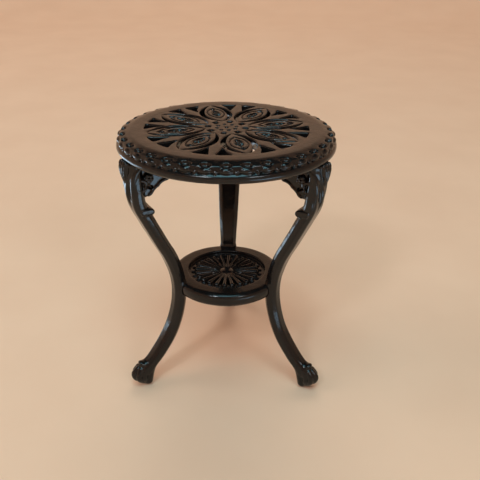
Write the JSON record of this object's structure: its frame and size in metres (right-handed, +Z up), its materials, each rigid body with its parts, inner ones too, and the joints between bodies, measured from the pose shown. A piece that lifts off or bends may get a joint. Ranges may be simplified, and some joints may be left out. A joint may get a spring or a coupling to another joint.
{
  "type": "miniature round table",
  "caption": "Miniature cast-iron style table with a pierced round top, cabriole legs ending in paw feet, and a small pierced lower shelf.",
  "frame": {"origin": "point on the floor on the axis of the round top, between the feet", "axes": "+Z up along the axis of the round top, +Y towards the back leg, +X towards the right-hand leg as seen from the front"},
  "size_m": [0.0268, 0.0297, 0.0339],
  "materials": {
    "black_enamel": "gloss black enamel over a small metal casting"
  },
  "bodies": {
    "root": {"table_top": "black_enamel", "lower_shelf": "black_enamel", "leg_back": "black_enamel", "leg_left": "black_enamel", "leg_right": "black_enamel"}
  },
  "joints": []
}
